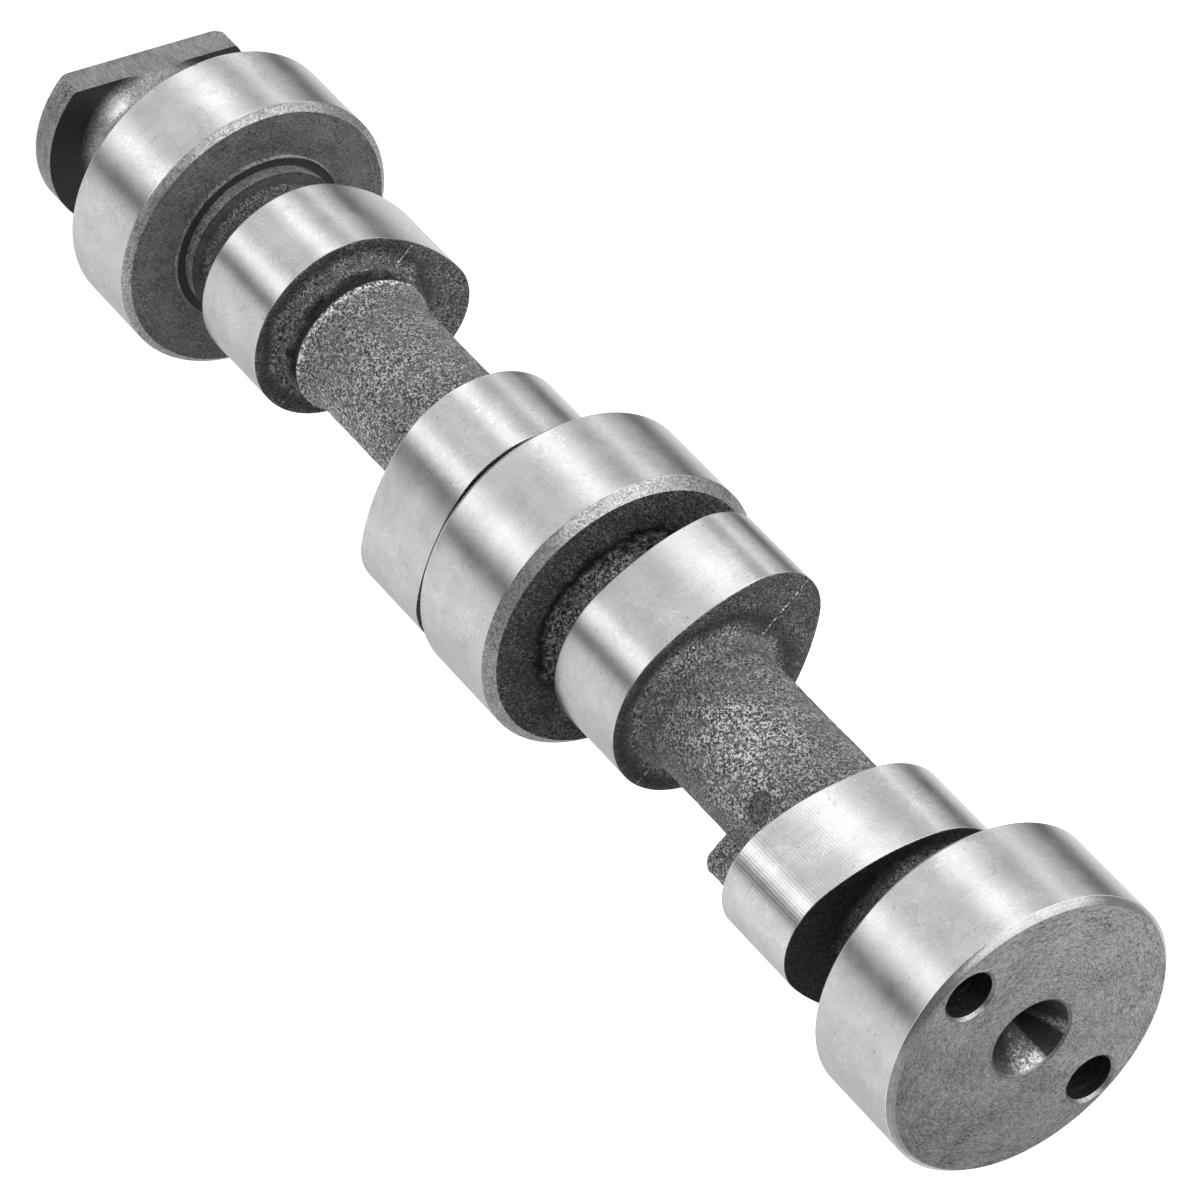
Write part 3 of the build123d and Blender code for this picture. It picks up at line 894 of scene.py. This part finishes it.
def milled_finish():
    """Milled flat: dull metal with the cutter's rings, whose middle lies near one end of it."""
    milled = Finish("drive_flat_milled")
    place = milled.coordinates()
    across = milled.along(place, "X") * -sin(FLAT_TURN) + milled.along(place, "Y") * cos(FLAT_TURN)
    across = across + 12.6
    up = milled.along(place, "Z") - 1.8
    sweep = across.math("SQRT", across * across + up * up)
    on_rings = milled.node("ShaderNodeCombineXYZ", None, {0: sweep * 2.1, 1: up * 0.3})
    marks = milled.noise(on_rings, 1.0, 3.0, 0.7)
    grains = milled.noise(place, 2.8, 2.5, 0.6)
    clouds = milled.noise(place, 0.25, 3.0, 0.6)
    level = 0.5 + (marks - 0.5) * 0.6 + (grains - 0.5) * 0.5 + (clouds - 0.5) * 0.3
    return milled.surface({
        "Base Color": milled.ramp(level, (0.36, 0.12), (0.64, 0.29)), "Metallic": 0.85,
        "Roughness": 0.42, "Normal": milled.bump(marks + grains * 0.6, 0.03),
    })


def end_rows():
    """Profile of the lathe centre, plate, fillet and neck carried round the axis. Towards the flat
    the radius is kept under the flat's, its distance / cos(angle from the flat), by a smooth
    minimum on the plate, (r^-n + limit^-n)^(-1/n), which rounds its two corners, and by a plain
    minimum on the fillet."""
    bend = np.linspace(0, pi / 2, 14)
    fillet_r = NECK_R + FILLET_R * (1 - np.sin(bend))
    fillet_height = PLATE_TOP + FILLET_R * (1 - np.cos(bend))
    profile = np.concatenate([
        PLATE_PROFILE, [(14.0, PLATE_TOP), (12.0, PLATE_TOP)],
        np.stack([fillet_r, fillet_height], axis=-1),
        [(NECK_R, 12.0), (NECK_R, 17.0), (NECK_R, 19.0)],
    ])
    radius, height = profile[:, :1], profile[:, 1:]
    turn = turns(JOURNAL_COLUMNS)
    facing = np.cos(turn - FLAT_TURN)
    no_limit = 40.0
    limit = np.where(facing > 0.3, FLAT_TO_AXIS / np.maximum(facing, 0.3), no_limit)
    sharpness = 90.0
    soft = (radius**-sharpness + limit**-sharpness) ** (-1 / sharpness)
    on_plate = (height < PLATE_TOP + 0.01) & (radius > 12.5)
    clipped = np.where(on_plate, soft, np.minimum(radius, limit))
    return around(np.where(height < PLATE_TOP + FILLET_R, clipped, radius), turn, height)


NECK = neck_finish()
MILLED_FLAT = milled_finish()
end_finishes = [NECK, PLATE_RIM, MILLED_FLAT]
end_profile = end_rows()
end_points, end_faces = solid_of_rows(end_profile)
end_bands = [PLATE_RIM] * (len(PLATE_PROFILE) - 1)
end_bands += [NECK] * (len(end_profile) - len(PLATE_PROFILE))
end_finish = finish_of_rows(end_finishes, end_bands, JOURNAL_COLUMNS)
corners = end_points[np.array([face[:3] for face in end_faces])]
flat_ahead = np.array([cos(FLAT_TURN), sin(FLAT_TURN), 0.0])
from_flat = np.abs(corners @ flat_ahead - FLAT_TO_AXIS).max(axis=1)
above_foot = corners[:, :, 2].max(axis=1) > 0.01
end_finish[(from_flat < 0.03) & above_foot] = end_finishes.index(MILLED_FLAT)
end_turn = np.arctan2(end_points[:, 1], end_points[:, 0])
# Painted highlight: one spot on the neck's fillet is lightened.
painted_highlight = hill((end_turn - radians(4.0)) / 0.22) * hill((end_points[:, 2] - 5.6) / 1.1)
add_piece("end_plate", end_points, end_faces, end_finishes, end_finish, 1 + 3.2 * painted_highlight)


# Floor. A plain white table under the shaft, far wider than the picture. It keeps a soft shadow,
# and is white to the eye and in the bright metal.
FLOOR_HALF = 30.0
floor_mesh = bpy.data.meshes.new("floor")
floor_sides = [(-1, -1), (1, -1), (1, 1), (-1, 1)]
floor_corners = [(x * FLOOR_HALF, y * FLOOR_HALF, 0) for x, y in floor_sides]
floor_mesh.from_pydata(floor_corners, [], [(0, 1, 2, 3)])
floor = new_object("floor", floor_mesh)
white_floor = Finish("white_floor")
camera_ray, glossy_ray, through_ray = (
    white_floor.node("ShaderNodeLightPath", output=ray)
    for ray in ("Is Camera Ray", "Is Glossy Ray", "Is Transmission Ray")
)
seen = camera_ray.math("MAXIMUM", camera_ray, glossy_ray.math("MAXIMUM", glossy_ray, through_ray))
floor_mesh.materials.append(white_floor.surface({
    "Base Color": (0.8, 0.8, 0.8, 1.0), "Roughness": 1.0,
    "Emission Color": seen, "Emission Strength": 0.82,
}))


# Card tent. White cards with dark gaps stand round the shaft as a wide open cone that only its
# bright metal sees, as the light and dark bands along the ground rims. Each card is given by the
# angle of the rim that mirrors it to the camera, its half width there and the light it adds.
TENT_LIGHT = 0.465
TENT_CARDS = [
    (-90.0, 9.0, 0.08), (-69.7, 7.5, -0.36), (-51.7, 3.4, 0.22), (-44.0, 4.0, -0.09),
    (-30.3, 6.5, 0.47), (-14.0, 5.0, 0.06), (4.0, 5.9, 0.43), (17.3, 5.2, -0.34),
    (36.5, 17.8, 0.10), (74.0, 16.0, -0.09),
]
METAL_GIVES_BACK = 0.6
TENT_FOOT_R = 22.0
TENT_SLOPE = 1.3
TENT_HEIGHT = 150.0
CAMERA_TURN = -6.34


def tent_rows():
    """Where the line of sight, mirrored by a journal's rim at each angle t of the half that is
    seen, meets the cone: it leaves (R cos t, R sin t) towards the angle 2t - c, c being the
    camera's, and reaches the cone's radius there."""
    angle = np.linspace(CAMERA_TURN - 90, CAMERA_TURN + 90, 181)[None, :]
    turn = np.radians(angle)
    away = 2 * turn - radians(CAMERA_TURN)
    height = np.linspace(0, TENT_HEIGHT, 16)[:, None]
    reach = TENT_FOOT_R + TENT_SLOPE * height
    along = JOURNAL_R * np.cos(away - turn)
    travel = np.sqrt(along**2 + reach**2 - JOURNAL_R**2) - along
    points = around(JOURNAL_R, turn, height) + around(travel, away, 0 * height)
    light = TENT_LIGHT + sum(band(angle, *card) for card in TENT_CARDS)
    return points, light + 0 * height


tent_points, tent_light = tent_rows()
tent_mesh = bpy.data.meshes.new("card_tent")
tent_faces = grid_faces(*tent_points.shape[:2]).tolist()
tent_mesh.from_pydata((tent_points.reshape(-1, 3) * MM).tolist(), [], tent_faces)
tent_values = tent_mesh.attributes.new("light", "FLOAT", "POINT").data
tent_values.foreach_set("value", tent_light.ravel().astype(np.float32))
tent = new_object("card_tent", tent_mesh)
cards = Finish("card_bands")
tent_mesh.materials.append(cards.surface({
    "Base Color": (0.0, 0.0, 0.0, 1.0), "Specular IOR Level": 0.0, "Roughness": 1.0,
    "Emission Color": cards.attribute("light") / METAL_GIVES_BACK, "Emission Strength": 1.0,
}))
for ray in ("camera", "diffuse", "transmission", "shadow", "volume_scatter"):
    setattr(tent, "visible_" + ray, False)


# Light. A grey room, darker above, whose walls go from light to dark and back round the shaft,
# and one large soft lamp from the side.
LAMP_AWAY = 1.2
LAMP_SIDE = Vector((0.24, -0.69, 0.68))
world = bpy.data.worlds.new("studio")
bpy.context.scene.world = world
studio = Nodes(world)
direction = studio.node("ShaderNodeTexCoord", output="Generated")
room = studio.ramp(studio.along(direction, "Z"), (0.10, 0.87), (0.60, 0.73), (1.0, 0.49))
walls = studio.ramp(
    studio.share_of_turn(direction), (0.0, 0.61), (0.08, 0.50), (0.16, 0.26), (0.25, 0.40),
    (0.32, 0.71), (0.45, 0.64), (0.49, 0.32), (0.56, 0.26), (0.61, 0.15), (0.655, 0.25),
    (0.68, 0.85), (0.84, 0.80), (0.92, 0.62), (1.0, 0.60),
)
studio.give(studio.tree.nodes["Background"], {"Color": room * walls, "Strength": 1.0})
lamp_data = bpy.data.lights.new("soft_lamp", "AREA")
lamp_data.size = 1.6
lamp_data.energy = 13.0
lamp = new_object("soft_lamp", lamp_data)
shaft_middle = Vector((0.0, 0.0, 0.1))
lamp.location = shaft_middle + LAMP_AWAY * LAMP_SIDE
lamp.rotation_euler = (shaft_middle - lamp.location).to_track_quat("-Z", "Y").to_euler()


# Camera. A long lens that looks down on the front journal, turned so that the shaft lies across
# the picture.
CAMERA_SPOT = Vector((0.75163, -0.08353, 0.69488))
CAMERA_RIGHT = Vector((-0.49857, -0.66872, 0.55159))
CAMERA_DOWN = Vector((-0.35680, 0.73822, 0.57247))
CAMERA_AHEAD = Vector((-0.79001, 0.08861, -0.60665))
camera_data = bpy.data.cameras.new("camera")
camera_data.sensor_width = 36.0
camera_data.lens = 221.43
camera = new_object("camera", camera_data)
camera_axes = Matrix((CAMERA_RIGHT, -CAMERA_DOWN, -CAMERA_AHEAD)).transposed()
camera.matrix_world = Matrix.Translation(CAMERA_SPOT) @ camera_axes.to_4x4()
bpy.context.scene.camera = camera
bpy.context.scene.view_settings.view_transform = "Standard"
